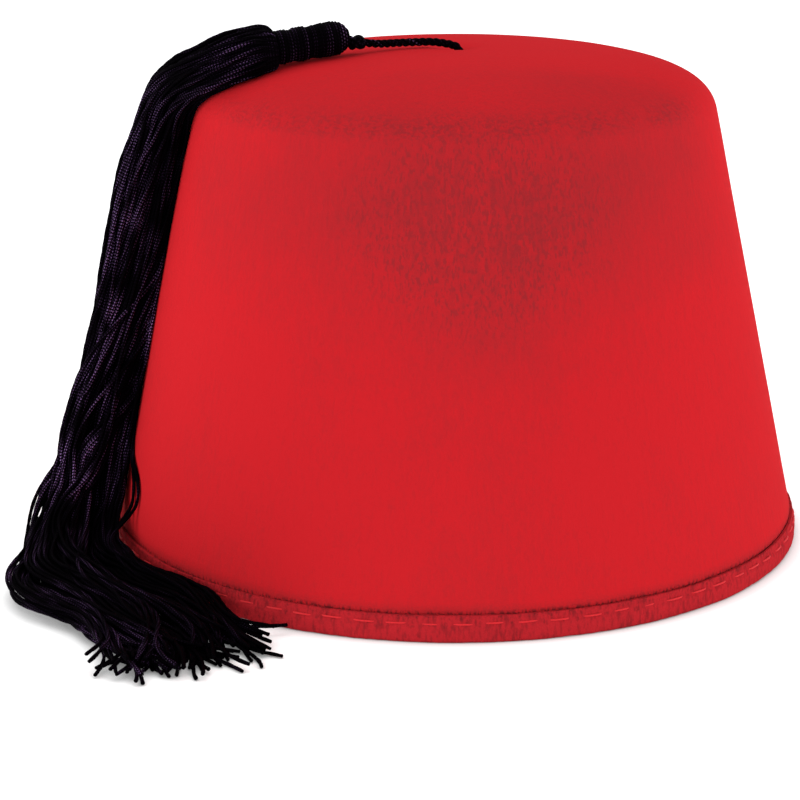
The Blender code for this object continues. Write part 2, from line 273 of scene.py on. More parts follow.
def rings_from_circle(name, outline, steps):
    """Extrude a circle through the (r, z) or (r, z, y) rings of an outline, in edit mode."""
    start_fresh()
    radius, height = outline[0]
    bpy.ops.mesh.primitive_circle_add(vertices=steps, radius=radius, location=(0.0, 0.0, height))
    piece = bpy.context.object
    piece.name = piece.data.name = name
    bpy.ops.object.transform_apply(location=True)
    bpy.ops.object.mode_set(mode="EDIT")
    bpy.ops.mesh.select_all(action="SELECT")
    shift = 0.0
    for next_radius, next_height, *sideways in outline[1:]:
        next_shift = sideways[0] if sideways else 0.0
        lift = (0.0, next_shift - shift, next_height - height)
        bpy.ops.mesh.extrude_region_move(TRANSFORM_OT_translate={"value": lift})
        growth = next_radius / radius
        pivot = (0.0, next_shift, 0.0)
        bpy.ops.transform.resize(value=(growth, growth, 1.0), center_override=pivot)
        radius, height, shift = next_radius, next_height, next_shift
    return piece


def apply_modifiers(piece):
    """Make what the piece's modifiers do part of its mesh."""
    start_fresh()
    bpy.context.view_layer.objects.active = piece
    piece.select_set(True)
    for modifier in list(piece.modifiers):
        bpy.ops.object.modifier_apply(modifier=modifier.name)


def roughen(piece, size, depth):
    """Push the surface in and out by a soft cloud pattern of this size and depth."""
    cloud = bpy.data.textures.new(piece.name + "_cloud", "CLOUDS")
    cloud.noise_scale = size
    push = piece.modifiers.new("uneven", "DISPLACE")
    push.texture = cloud
    push.texture_coords = "LOCAL"
    push.strength = depth

# %% [markdown]
# ## The crown
#
# The crown is felt pressed over a block: straight sides that lean in, a shoulder
# that rounds over quickly, and a flat top that the cord draws into a dimple. The
# innermost rings shift towards the place where the cord goes in. The shoulder is a
# cubic curve that leaves the side in its own direction and reaches the top level.
# Solidify then gives the sheet its felt thickness, inwards, so the outside keeps
# its size. A faint, slow unevenness keeps it from looking turned.

# %% Crown
HEM_RADIUS = 95.0 * MM
HEM_HEIGHT = 6.9 * MM
HEM_THICKNESS = 1.5 * MM
CROWN_HEIGHT = 133.1 * MM
SHOULDER_HEIGHT = 117.0 * MM
SHOULDER_RADIUS = 70.2 * MM
SIDE_FOOT_RADIUS = 93.55 * MM
SIDE_FOOT_HEIGHT = 7.3 * MM
ROUND_HANDLE = 11.0 * MM
TOP_FLAT_RADIUS = 52.8 * MM
FELT_THICKNESS = 2.2 * MM
DIMPLE_DEPTH = 1.4 * MM
DIMPLE_RADIUS = 4.5 * MM
DIMPLE_RINGS = 16
GAP = 0.3 * MM  # between the hem and the crown
CROWN_STEPS = 180  # corners in a ring
SIDE_RINGS = 34
TOP_RINGS = 36  # over the shoulder and on to the middle
SLOW_WAVE = 38 * MM
SLOW_WAVE_DEPTH = 0.35 * MM


def crown_outline():
    """The felt's outer side, (r, z) from the foot up to the middle of the top."""
    foot_radius = HEM_RADIUS - HEM_THICKNESS - GAP
    outline = [(foot_radius, 0.0), (foot_radius, HEM_HEIGHT - GAP)]
    foot = np.array([SIDE_FOOT_RADIUS, SIDE_FOOT_HEIGHT])
    shoulder = np.array([SHOULDER_RADIUS, SHOULDER_HEIGHT])
    for t in np.arange(SIDE_RINGS) / SIDE_RINGS:
        outline.append(tuple(foot + (shoulder - foot) * t))
    handle = shoulder + ROUND_HANDLE * unit(shoulder - foot)
    flat = np.array([TOP_FLAT_RADIUS, CROWN_HEIGHT])
    middle = np.array([0.0, CROWN_HEIGHT])
    for t in np.linspace(0.0, 1.0, TOP_RINGS, endpoint=False):
        s = 1 - t
        place = s ** 3 * shoulder + 3 * s * s * t * handle + 3 * s * t * t * flat + t ** 3 * middle
        if place[0] > 2 * DIMPLE_RADIUS:
            outline.append(tuple(place))
    for radius in np.linspace(2 * DIMPLE_RADIUS, 0.3 * MM, DIMPLE_RINGS):
        dip = DIMPLE_DEPTH * math.exp(-((radius / DIMPLE_RADIUS) ** 2))
        toward_cord = 1 - radius / (2 * DIMPLE_RADIUS)
        outline.append((radius, CROWN_HEIGHT - dip, CORD_EXIT[1] * toward_cord))
    return outline


crown = rings_from_circle("crown_felt", crown_outline(), CROWN_STEPS)
bpy.ops.mesh.merge(type="CENTER")
bpy.ops.mesh.select_all(action="SELECT")
bpy.ops.mesh.normals_make_consistent(inside=False)
roughen(crown, SLOW_WAVE, SLOW_WAVE_DEPTH)
wall = crown.modifiers.new("felt", "SOLIDIFY")
wall.thickness = FELT_THICKNESS
wall.offset = -1.0
wall.use_even_offset = True
apply_modifiers(crown)
bpy.ops.object.shade_smooth_by_angle(angle=math.radians(40))
print("crown: %d faces" % len(crown.data.polygons))

# %% [markdown]
# ## The hem band
#
# The hem is a strip of felt round the foot. Its top edge is cut raw and stands a
# little proud, the row of stitches pulls a shallow groove into it, and its lower
# edge rolls under. The outline runs up the outside, over the top edge and down
# the inside, and back to where it started, so the ring is closed. Then a fine
# cloud pattern makes the cut felt look rough.

# %% Hem band
STITCH_HEIGHT = 4.9 * MM
GROOVE_DEPTH = 0.25 * MM
GROOVE_WIDTH = 0.70 * MM
ROLLED_EDGE = 1.0 * MM
ROLLED_BY = 0.7 * MM
THINNED_EDGE = 2.8 * MM
THINNED_BY = 0.75 * MM
EDGE_MARGIN = 0.05 * MM  # left free above and below, for the roughness
HEM_STEPS = 600
HEM_RINGS = 22
CUT_FELT = (1.7 * MM, 0.30 * MM)  # size and depth of the roughness
CUT_WAVE = (21 * MM, 0.45 * MM)


def hem_outline():
    """The hem's section: up the outside, over the top, down the inside and back."""
    outer = []
    for t in np.linspace(0.0, 1.0, HEM_RINGS):
        height = EDGE_MARGIN + (HEM_HEIGHT - 2 * EDGE_MARGIN) * t
        low = max(0.0, 1 - height / ROLLED_EDGE)
        high = max(0.0, 1 - (HEM_HEIGHT - height) / THINNED_EDGE)
        rounding = ROLLED_BY * low ** 2 + THINNED_BY * high ** 2 * (3 - 2 * high)
        away = (height - STITCH_HEIGHT) / GROOVE_WIDTH
        groove = GROOVE_DEPTH * math.exp(-away * away)
        outer.append((HEM_RADIUS - rounding - groove, height))
    inner_radius = HEM_RADIUS - HEM_THICKNESS
    inner = [(inner_radius, HEM_HEIGHT - EDGE_MARGIN), (inner_radius, EDGE_MARGIN)]
    return outer + inner + outer[:1]


hem = rings_from_circle("hem_felt_band", hem_outline(), HEM_STEPS)
bpy.ops.mesh.select_all(action="SELECT")
bpy.ops.mesh.remove_doubles(threshold=0.01 * MM)
bpy.ops.mesh.normals_make_consistent(inside=False)
roughen(hem, *CUT_FELT)
roughen(hem, *CUT_WAVE)
apply_modifiers(hem)
for corner in hem.data.vertices:
    corner.co.z = max(corner.co.z, 0.0)
bpy.ops.object.shade_smooth_by_angle(angle=math.radians(50))
print("hem: %d faces" % len(hem.data.polygons))

# %% [markdown]
# ## The stitches
#
# Seventy-three long stitches of bright red thread run round the hem, each sunk into
# the felt at both ends. One is modelled: a thin cylinder, cut into short lengths,
# whose ends are drawn in and pushed down. Its copies are turned round the hat's
# axis by a loop and written into one mesh. Each gets its own length and lean, and
# some are drawn deeper into the felt than others.

# %% Stitches
STITCH_COUNT = 73
STITCH_SPAN = 6.2 * MM
STITCH_CUTS = (-0.36, -0.22, 0.0, 0.22, 0.36)
STITCH_TAPER = 0.45  # how much thinner its ends are
STITCH_DIVE = 0.55 * MM  # how deep its ends go into the felt
THREAD_RADIUS = 0.24 * MM

start_fresh()
bpy.ops.mesh.primitive_cylinder_add(vertices=8, radius=THREAD_RADIUS, depth=STITCH_SPAN,
                                    rotation=(math.pi / 2, 0.0, 0.0))
stitch = bpy.context.object
bpy.ops.object.transform_apply(rotation=True)
bpy.ops.object.mode_set(mode="EDIT")
for share in STITCH_CUTS:
    bpy.ops.mesh.select_all(action="SELECT")
    bpy.ops.mesh.bisect(plane_co=(0.0, share * STITCH_SPAN, 0.0), plane_no=(0.0, 1.0, 0.0))
bpy.ops.object.mode_set(mode="OBJECT")
for corner in stitch.data.vertices:
    share = abs(corner.co.y) / (STITCH_SPAN / 2)
    narrowing = 1 - STITCH_TAPER * share ** 4
    corner.co.x = corner.co.x * narrowing - STITCH_DIVE * share ** 4
    corner.co.z = corner.co.z * narrowing
one_stitch = np.array([tuple(v.co) for v in stitch.data.vertices])
stitch_faces = [tuple(f.vertices) for f in stitch.data.polygons]
bpy.data.objects.remove(stitch, do_unlink=True)

# %% Stitches round the hem
STITCH_STRETCH = (0.84, 1.10)
TURN_WOBBLE = 0.03  # of the way to the next stitch
HEIGHT_WOBBLE = 0.09 * MM
DEPTH_WOBBLE = 0.11 * MM
LEAN_WOBBLE = 0.018


def ring_of_copies(name, corners, faces, count, seat):
    """Copy a small shape round the hat. seat(k) gives its turn, radius, height, lean, stretch."""
    all_corners, all_faces = [], []
    for k in range(count):
        turn, radius, height, lean, stretch = seat(k)
        x = corners[:, 0] + radius
        y = corners[:, 1] * stretch
        z = y * math.sin(lean) + corners[:, 2] + height
        start = len(all_corners)
        turned = (x * math.cos(turn) - y * math.sin(turn), x * math.sin(turn) + y * math.cos(turn), z)
        all_corners.extend(np.stack(turned, axis=1).tolist())
        all_faces.extend([tuple(start + v for v in face) for face in faces])
    return add_mesh(name, all_corners, all_faces)


stretches = np.random.default_rng(8).uniform(*STITCH_STRETCH, STITCH_COUNT)
wobbles = np.random.default_rng(5).normal(0.0, 1.0, (STITCH_COUNT, 3))
stitch_radius = HEM_RADIUS - GROOVE_DEPTH - 0.02 * MM


def stitch_seat(k):
    """Where stitch k sits on the hem, and how it leans and stretches there."""
    turn = math.tau * (k + TURN_WOBBLE * wobbles[k, 0]) / STITCH_COUNT
    height = STITCH_HEIGHT + HEIGHT_WOBBLE * wobbles[k, 1]
    radius = stitch_radius - DEPTH_WOBBLE * abs(wobbles[k, 2])
    return turn, radius, height, LEAN_WOBBLE * wobbles[k, 2], stretches[k]


stitches = ring_of_copies("hem_stitches", one_stitch, stitch_faces, STITCH_COUNT, stitch_seat)
print("stitches: %d" % STITCH_COUNT)

# %% [markdown]
# ## The tassel's head
#
# Thin cord is wound round the top of the skirt: two bands over the neck, then a
# full ball next to the knot. A table gives the radius along the head, and one
# long line winds along it from the knot to the skirt, each turn beside the last.
# A plain core fills the inside, so no light comes through between the turns.

# %% Wound head
KNOT_CENTRE = np.array([-26.0, -12.8, 135.5]) * MM
HEAD_START = np.array([-28.0, -13.8, 137.3]) * MM
HEAD_END = np.array([-47.3, -20.6, 134.8]) * MM
WINDING_RADIUS = 0.60 * MM
WINDING_PITCH = 0.80 * MM
POINTS_PER_TURN = 22
SLACK = 0.13 * MM  # how far a turn rises above its neighbours
CORE_POINTS = 24
CORE_INSET = 1.1 * WINDING_RADIUS
# The radius of the head, in mm, at shares of its length from the knot to the skirt.
HeadRow = namedtuple("HeadRow", "share radius")
HEAD_PROFILE = [
    HeadRow(0.00, 1.8), HeadRow(0.03, 2.9), HeadRow(0.08, 3.8), HeadRow(0.16, 4.5),
    HeadRow(0.27, 4.65), HeadRow(0.38, 4.55), HeadRow(0.47, 4.3), HeadRow(0.51, 4.1),
    HeadRow(0.56, 4.4), HeadRow(0.63, 4.55), HeadRow(0.70, 4.45), HeadRow(0.74, 4.15),
    HeadRow(0.79, 4.4), HeadRow(0.87, 4.6), HeadRow(0.95, 4.4), HeadRow(1.00, 3.8),
]


def head_radius(share):
    """The head's radius at shares of its length."""
    profile = smooth_rows(HEAD_PROFILE)
    return np.interp(share, profile[:, 0], profile[:, 1]) * MM


head_axis = HEAD_END - HEAD_START
head_length = np.linalg.norm(head_axis)
head_along = head_axis / head_length
head_side = unit(np.cross(head_along, [0.0, 0.0, 1.0]))
head_up = np.cross(head_side, head_along)
turns_round = int(head_length / WINDING_PITCH)
share = np.linspace(0.0, 1.0, turns_round * POINTS_PER_TURN)
turn = math.tau * turns_round * share
circle = head_side * np.cos(turn)[:, None] + head_up * np.sin(turn)[:, None]
slack = SLACK * np.sin(1.7 * turn) * np.sin(0.37 * turn)
out = head_radius(share) - WINDING_RADIUS + slack
winding = HEAD_START + head_axis * share[:, None] + circle * out[:, None]
head = cords("tassel_head", [winding], [np.full(len(winding), WINDING_RADIUS)])

core_shares = np.linspace(0.0, 1.0, CORE_POINTS)
core_line = HEAD_START + head_axis * core_shares[:, None]
core_radii = head_radius(core_shares) - CORE_INSET
core = cords("tassel_head_core", [core_line], [core_radii], sides=24)
print("head: %d turns of cord over %.1f mm" % (turns_round, head_length / MM))

# %% [markdown]
# ## The knot
#
# The cord's end is tied in a small overhand knot, which holds the tassel. A
# trefoil is the same knot with its ends joined, and three waves of sine and
# cosine draw it.

# %% Knot
KNOT_REACH = 1.65 * MM
KNOT_CORD_RADIUS = 0.95 * MM
KNOT_POINTS = 72
LOOP_REACH = 1.6  # of the three loops, against the ring through them
LOOP_DEPTH = 1.1

t = np.linspace(0.0, math.tau, KNOT_POINTS)
trefoil = np.stack([
    np.sin(t) + LOOP_REACH * np.sin(2 * t),
    np.cos(t) - LOOP_REACH * np.cos(2 * t),
    -LOOP_DEPTH * np.sin(3 * t),
], axis=1) * KNOT_REACH * 0.5
knot_line = KNOT_CENTRE + trefoil
knot = cords("tassel_knot", [knot_line], [np.full(KNOT_POINTS, KNOT_CORD_RADIUS)], sides=8)
print("knot: %.1f mm across" % (np.ptp(knot_line, axis=0).max() / MM + 2 * KNOT_CORD_RADIUS / MM))

# %% [markdown]
# ## The skirt's run
#
# The skirt leaves the head, bends over the shoulder, hangs down the side and
# turns round the foot of the hat on the floor, where its cut ends spread. The
# table has a row for each stretch: the bundle's middle, half its size away from
# the hat and half its size across.

# %% Skirt sections
Section = namedtuple("Section", "x y z out across")
SKIRT = [
    Section(-44.6, -19.4, 134.7, 3.4, 3.4),
    Section(-50.5, -23.0, 134.9, 6.0, 7.5),
    Section(-56.5, -25.0, 133.7, 6.1, 7.7),
    Section(-62.3, -24.2, 131.0, 5.9, 6.5),
    Section(-68.2, -19.8, 127.4, 6.2, 6.2),
    Section(-73.7, -14.6, 121.4, 7.3, 6.4),
    Section(-77.3, -11.2, 111.6, 7.9, 6.8),
    Section(-81.6, -10.0, 98.5, 9.0, 6.8),
    Section(-85.9, -9.8, 77.3, 9.5, 6.9),
    Section(-89.8, -11.2, 55.4, 9.9, 7.5),
    Section(-93.5, -13.6, 38.5, 11.0, 8.0),
    Section(-96.4, -17.8, 25.0, 11.4, 8.0),
    Section(-98.2, -24.2, 16.5, 11.8, 7.5),
    Section(-100.0, -31.0, 10.8, 12.2, 6.6),
    Section(-100.8, -39.0, 7.2, 12.4, 5.6),
    Section(-100.0, -48.0, 5.6, 13.0, 5.0),
    Section(-97.0, -57.5, 4.8, 18.2, 4.6),
    Section(-90.4, -66.2, 4.3, 18.7, 4.2),
    Section(-82.2, -75.4, 3.9, 18.6, 3.7),
    Section(-75.3, -84.1, 3.5, 18.4, 3.2),
    Section(-69.8, -92.1, 3.0, 18.0, 2.7),
    Section(-65.0, -99.5, 2.6, 20.0, 2.3),
    Section(-61.4, -107.5, 2.0, 21.6, 1.7),
    Section(-57.7, -116.0, 1.4, 23.4, 1.2),
    Section(-54.0, -125.0, 1.0, 25.0, 0.8),
]
STATIONS = 150
CORE_HEIGHT = 60.0 * MM  # up to here away is from the axis, above from this point of it

run = respaced(smooth_rows(SKIRT) * MM, STATIONS)
middle, half = run[:, :3], run[:, 3:]
run_reach = reach_along(run)
share = run_reach / run_reach[-1]
along = unit(np.gradient(middle, axis=0))
away = middle - np.minimum(middle[:, 2:], CORE_HEIGHT) * [0.0, 0.0, 1.0]
away = unit(away - along * np.sum(away * along, axis=1, keepdims=True))
across = np.cross(along, away)
print("the skirt's middle line: %.0f mm" % (run_reach[-1] / MM))

# %% [markdown]
# ## Locks and stray strands
#
# A real skirt is one long cord, wound to and fro and cut at the bottom. Its
# strands hang in locks that lean over each other. Each row places a lock in the
# bundle: its turn about the middle at the head, how far it sweeps round between
# two places down the skirt, and how far out it lies. On the floor it takes a
# place between the hat's side, -1, and the far side, 1, and may drift across
# the others. A stray is a single strand that bows out of the bundle.

# %% Locks
STRANDS_PER_LOCK = 12
STRAND_RADIUS = 0.54 * MM
Lock = namedtuple("Lock", "turn sweep start end reach radius twist place drift")
LOCKS = [
    Lock(198, 80, 55, 150, 0.74, 2.1, 0.9, 0.30, -0.52),
    Lock(232, 95, 50, 150, 0.72, 2.3, -0.8, 0.62, -0.10),
    Lock(268, 85, 60, 140, 0.72, 2.2, 1.1, 0.95, -0.05),
    Lock(303, 92, 50, 150, 0.70, 2.4, -1.0, 0.78, -0.05),
    Lock(338, 90, 50, 150, 0.72, 2.2, 0.8, 0.45, 0.10),
    Lock(14, 92, 50, 150, 0.70, 2.3, -0.9, 0.05, 0.00),
    Lock(52, 85, 50, 150, 0.68, 2.2, 1.2, -0.30, 0.10),
    Lock(96, 80, 50, 150, 0.68, 2.3, -0.7, -0.58, 0.04),
    Lock(176, 128, 96, 146, 0.78, 1.9, 1.0, -0.05, 0.40),
    Lock(165, 58, 60, 130, 0.66, 2.0, 0.8, -0.75, 0.00),
    Lock(280, 90, 50, 150, 0.30, 2.2, -1.1, 0.20, 0.00),
    Lock(30, 90, 50, 150, 0.28, 2.2, 0.9, -0.48, -0.12),
]
Stray = namedtuple("Stray", "turn sweep start end reach place bow_at bow_out bow_across")
STRAYS = [
    Stray(205, 20, 60, 130, 0.90, -0.72, 152, -0.70, -1.22),
    Stray(200, 20, 60, 130, 0.85, -0.76, 149, -0.55, -0.90),
    Stray(212, 16, 60, 130, 1.02, -0.70, 104, -0.08, -0.16),
    Stray(205, 130, 70, 125, 0.98, 0.50, 110, 0.00, -0.10),
    Stray(196, 120, 88, 140, 0.98, 0.35, 120, 0.00, -0.15),
    Stray(214, 60, 60, 118, 0.98, 0.30, 112, 0.00, -0.15),
    Stray(286, 60, 60, 150, 0.84, 0.84, 142, 0.12, 0.00),
    Stray(300, 70, 60, 150, 0.90, 0.88, 92, 0.08, 0.00),
    Stray(320, 60, 60, 150, 0.88, 0.90, 136, 0.18, 0.00),
    Stray(250, 60, 20, 90, 1.00, 0.20, 60, 0.03, -0.08),
]

# %% [markdown]
# ## Down the skirt
#
# Lengths down the skirt are in millimetres from the head. The bundle is pinched
# at the neck and swells over the next centimetre. Lower down it lands: its height
# tells how far the round hanging bundle has become a flat one that lies, and the
# length along the floor how far a lock has drifted to its side. Slow waves, with
# phases left to chance, keep the strands from running alike.

# %% Down the skirt
LANDING_HEIGHT = 26.0 * MM
FLOOR_HEIGHT = 8.0 * MM
FLOOR_START = 165.0
FLOOR_END = 236.0
DRIFT_LIMIT = 1.3
NECK_SPREAD, NECK_LENGTH = 0.45, 12.0
TURN_WAVE = (0.16, 95.0)  # how large, and how long
PLACE_WAVE = (0.09, 44.0)
LYING_REACH = 0.95  # how far out a place of 1 lies, of half the skirt's width

chance = np.random.default_rng(11)
down = run_reach / MM


def ease(t):
    """0 up to 0 and 1 from 1, with a smooth way between."""
    t = np.clip(t, 0.0, 1.0)
    return t * t * (3 - 2 * t)


def swelling(reach, share, length):
    """From this share of a size at the start to all of it at this length."""
    return np.clip(share + (1 - share) * reach / length, 0.0, 1.0)


def wave(size, length):
    """A slow sideways wave along the skirt, with its phase left to chance."""
    return size * np.sin(math.tau * (down / length + chance.uniform()))


landed = ease((LANDING_HEIGHT - middle[:, 2]) / (LANDING_HEIGHT - FLOOR_HEIGHT))
on_floor = np.clip((down - FLOOR_START) / (FLOOR_END - FLOOR_START), 0.0, DRIFT_LIMIT)


def in_section(row, drift=0.0):
    """The way of a lock or stray through the skirt's sections, out and across."""
    swept = ease((down - row.start) / (row.end - row.start))
    angle = np.radians(row.turn + row.sweep * swept) + wave(*TURN_WAVE)
    hanging = row.reach * np.cos(angle)
    lying = LYING_REACH * (row.place + drift * on_floor) + wave(*PLACE_WAVE)
    return hanging + (lying - hanging) * landed, row.reach * np.sin(angle)


def in_space(out_by, across_by):
    """Points beside the skirt's middle line."""
    return middle + away * out_by[:, None] + across * across_by[:, None]

# %% Strands in their places
STRAND_STEP = 2.4  # radians from one strand to the next, as seeds sit in a sunflower
LANDED_SPREAD = 0.4  # how much wider a lock lies than it hangs
LEAN_WAVE = (0.5, 120.0)
OUT_WAVE = (0.35 * MM, 70.0)
ACROSS_WAVE = (0.35 * MM, 60.0)
BOW_LENGTH = 13.0

targets = []
for lock in LOCKS:
    out_share, across_share = in_section(lock, lock.drift)
    for k in range(STRANDS_PER_LOCK):
        spread = lock.radius * MM * math.sqrt((k + 0.5) / STRANDS_PER_LOCK)
        spread = spread * swelling(down, NECK_SPREAD, NECK_LENGTH)
        lean = STRAND_STEP * k + math.tau * lock.twist * share + wave(*LEAN_WAVE)
        out_by = half[:, 0] * out_share + (1 + LANDED_SPREAD * landed) * spread * np.cos(lean)
        out_by = out_by + wave(*OUT_WAVE)
        across_by = half[:, 1] * across_share + spread * np.sin(lean) + wave(*ACROSS_WAVE)
        targets.append(in_space(out_by, across_by))
for stray in STRAYS:
    out_share, across_share = in_section(stray)
    bow = np.exp(-(((down - stray.bow_at) / BOW_LENGTH) ** 2))
    targets.append(in_space(half[:, 0] * (out_share + stray.bow_out * bow),
                            half[:, 1] * (across_share + stray.bow_across * bow)))
targets = np.array(targets)
print("strands: %d" % len(targets))

# %% [markdown]
# ## Letting the strands settle
#
# Strands can't pass through each other, the hat or the floor. A small relaxation
# settles them: neighbours that are too close push each other apart, each strand
# is kept smooth, and whatever has sunk into the felt or the floor is moved out.
# A weak pull keeps them near their places. Blender's cloth could do this too, but
# it knows no thickness of a bare line, and this takes seconds.

# %% Ways to settle
BLOCK = 10  # stations that are compared at a time, to save memory
PUSH = 0.30
outline_rz = np.array([ring[:2] for ring in crown_outline()[2:]])
outline_rz = np.concatenate([[(HEM_RADIUS, 0.0), (HEM_RADIUS, HEM_HEIGHT)], outline_rz])


def clear_of_hat(points, distance):
    """Move points out until they lie at least this far from the hat and the floor."""
    radius = np.linalg.norm(points[..., :2], axis=-1)
    place = np.stack([radius, points[..., 2]], axis=-1)
    nearest_reach = np.full(radius.shape, np.inf)
    moved = place.copy()
    for start, end in zip(outline_rz, outline_rz[1:]):
        step = end - start
        t = np.clip((place - start) @ step / (step @ step), 0.0, 1.0)[..., None]
        nearest = start + step * t
        outward = np.array([step[1], -step[0]]) / np.linalg.norm(step)
        gap = place - nearest
        reach = np.linalg.norm(gap, axis=-1)
        sunk = (gap @ outward < 0) | (reach < distance)
        target = np.where(sunk[..., None], nearest + outward * distance[..., None], place)
        closer = reach < nearest_reach
        moved = np.where(closer[..., None], target, moved)
        nearest_reach = np.where(closer, reach, nearest_reach)
    growth = moved[..., 0] / radius
    height = np.maximum(moved[..., 1], distance)
    return np.stack([points[..., 0] * growth, points[..., 1] * growth, height], axis=-1)


def push_apart(lines, spacing):
    """Move strands that are nearer than their spacing apart, station by station."""
    for first in range(0, STATIONS, BLOCK):
        some = lines[:, first:first + BLOCK]
        between = some[:, None] - some[None, :]
        reach = np.linalg.norm(between, axis=-1) + 1e-9
        lack = np.clip(spacing[first:first + BLOCK] - reach, 0.0, None)
        lines[:, first:first + BLOCK] += np.sum(between * (PUSH * lack / reach)[..., None], axis=1)


def smooth(lines, share):
    """Bring each point this share of the way to between its neighbours."""
    lines[:, 1:-1] += share * (0.5 * (lines[:, :-2] + lines[:, 2:]) - lines[:, 1:-1])

# %% Settle the strands
ROUNDS = 60
SMOOTHING = 0.15
PULL = 0.08  # of the way back to where a strand should be
CLEARANCE = 0.1 * MM
NECK_SIZE, NECK_GROWTH = 0.62, 14.0
SPACING = 2.04  # radii from one strand's middle to the next

thickness = STRAND_RADIUS * swelling(down, NECK_SIZE, NECK_GROWTH)
spacing = SPACING * thickness
distance = np.broadcast_to(thickness + CLEARANCE, targets.shape[:2])
lines = targets.copy()
for _ in range(ROUNDS):
    push_apart(lines, spacing)
    smooth(lines, SMOOTHING)
    lines += PULL * (targets - lines)
    lines = clear_of_hat(lines, distance)
print("settled in %d rounds" % ROUNDS)

# %% [markdown]
# ## Cutting and making the strands
#
# The skirt is cut straight across, so all strands end at about the same place,
# those along the hat a little sooner. Over the last centimetre they stray, because
# nothing holds the cut ends together. At the other end the outer strands curl back
# over the neck, where the winding squeezes them, and make a round shoulder. All of
# them become cords, in three pieces so that none grows too large.

# %% Curl over the neck
CURL_LENGTH = 8.0  # mm down the skirt
INNER_REACH = 3.0 * MM  # nearer the head's line than this, a strand runs straight
CURL_DEPTH = 3.0 * MM  # from there to where the curl is full
# Places along the head's line and out from it, in mm, for a straight strand, and
# what a full curl adds to each.
CurlRow = namedtuple("CurlRow", "along out curl_along curl_out")
CURL = [
    CurlRow(-3.0, 2.6, 0.0, 0.0),
    CurlRow(-0.4, 3.2, 0.0, 0.0),
    CurlRow(0.5, 3.6, -1.1, 0.9),
    CurlRow(1.5, 3.9, -1.2, 1.9),
    CurlRow(2.6, 4.2, 0.0, 2.1),
]


def curled(line, start):
    """Bend the first stretch of an outer strand back over the neck."""
    offset = line[start] - HEAD_END
    offset = offset - head_along * (offset @ head_along)
    size = np.linalg.norm(offset)
    curl = min(max((size - INNER_REACH) / CURL_DEPTH, 0.0), 1.0)
    if curl <= 0.05:
        return line
    bent = []
    for row in CURL:
        forward = (row.along + row.curl_along * curl) * MM
        out = (row.out + row.curl_out * curl) * MM
        bent.append(HEAD_END + forward * head_along + out * offset / size)
    return np.concatenate([bent, line[start:]])

# %% Cut the strands
CUT_AT = 246.0  # mm down the skirt, as are the other lengths here
CUT_SHORTER = 5.0  # for the strands that lie along the hat's side
CUT_SPREAD = 2.6
LONGER_SHARE = 0.3  # of the strands, which are cut longer than the rest
LONGER_BY = (2.0, 11.0)
END_STRAY = 9.5
END_BEND = 1.6
STRAY_SPREAD = 3.6
CURL_RINGS, RINGS = 20, 184
CURL_RINGS_TO = 12.0 * MM  # the rings lie closer up to here
NEAR_END = 20  # stations back from the end, where the bundle lies flat


def cut_strand(line):
    """The strand with its curl, its cut and its stray end, and its rings' places."""
    beside = line[-NEAR_END] - middle[-NEAR_END]
    to_hat = -away[-NEAR_END] @ beside / half[-NEAR_END, 0]
    end = CUT_AT - CUT_SHORTER * max(0.0, to_hat) + chance.normal(0.0, CUT_SPREAD)
    end = end + chance.uniform(*LONGER_BY) * (chance.uniform() < LONGER_SHARE)
    keep = int(np.searchsorted(down, min(end, down[-1])))
    line = curled(line[:keep + 1], int(np.searchsorted(down, CURL_LENGTH)))
    close = np.linspace(0.0, CURL_RINGS_TO, CURL_RINGS, endpoint=False)
    wide = np.linspace(CURL_RINGS_TO, reach_along(line)[-1], RINGS - CURL_RINGS)
    stations = np.concatenate([close, wide])
    line = at_stations(line, stations)
    left = (stations[-1] - stations) / MM
    loose = np.clip(1 - left / END_STRAY, 0.0, 1.0) ** END_BEND
    sideways = np.cross(unit(line[-1] - line[-12]), [0.0, 0.0, 1.0])
    stray = chance.normal(0.0, STRAY_SPREAD) * MM
    return line + sideways * (stray * loose)[:, None], stations


cut_lines, ring_places = (np.array(rows) for rows in zip(*map(cut_strand, lines)))
print("shortest and longest strand: %.0f and %.0f mm" % (
    ring_places[:, -1].min() / MM, ring_places[:, -1].max() / MM))

# %% Make the strands
TOP_SIZE, TOP_GROWTH = 0.66, 7.0 * MM
STRAND_FLATNESS = 0.86  # its knitting lies a little flat
STRAND_SPIN = 260.0  # radians in a metre, so that the flat side comes round
LAST_SMOOTHING = 0.4
LAST_CLEARANCE = 0.05 * MM
SKIRT_PIECES = ("tassel_strands_a", "tassel_strands_b", "tassel_strands_c")

strand_radii = STRAND_RADIUS * swelling(ring_places, TOP_SIZE, TOP_GROWTH)
for _ in range(2):
    smooth(cut_lines, LAST_SMOOTHING)
cut_lines = clear_of_hat(cut_lines, strand_radii + LAST_CLEARANCE)
skirts = []
for first, name in enumerate(SKIRT_PIECES):
    some = slice(first, None, len(SKIRT_PIECES))
    skirts.append(cords(name, cut_lines[some], strand_radii[some], squash=STRAND_FLATNESS,
                        spin=STRAND_SPIN))
print("strands: %d faces" % sum(len(piece.data.polygons) for piece in skirts))

# %% [markdown]
# ## Building materials from nodes
#
# A finish is a small program of shader nodes. This helper adds one node, sets its
# options, and feeds each input with a value or with another node's output, so a
# material reads from top to bottom like a recipe.

# %% Node helpers
def node(tree, kind, feeds=None, **options):
    """A new node with these options, fed with values or with other nodes' outputs."""
    made = tree.nodes.new(kind)
    for option, value in options.items():
        setattr(made, option, value)
    for socket, value in (feeds or {}).items():
        if isinstance(value, bpy.types.NodeSocket):
            tree.links.new(value, made.inputs[socket])
        else:
            made.inputs[socket].default_value = value
    return made


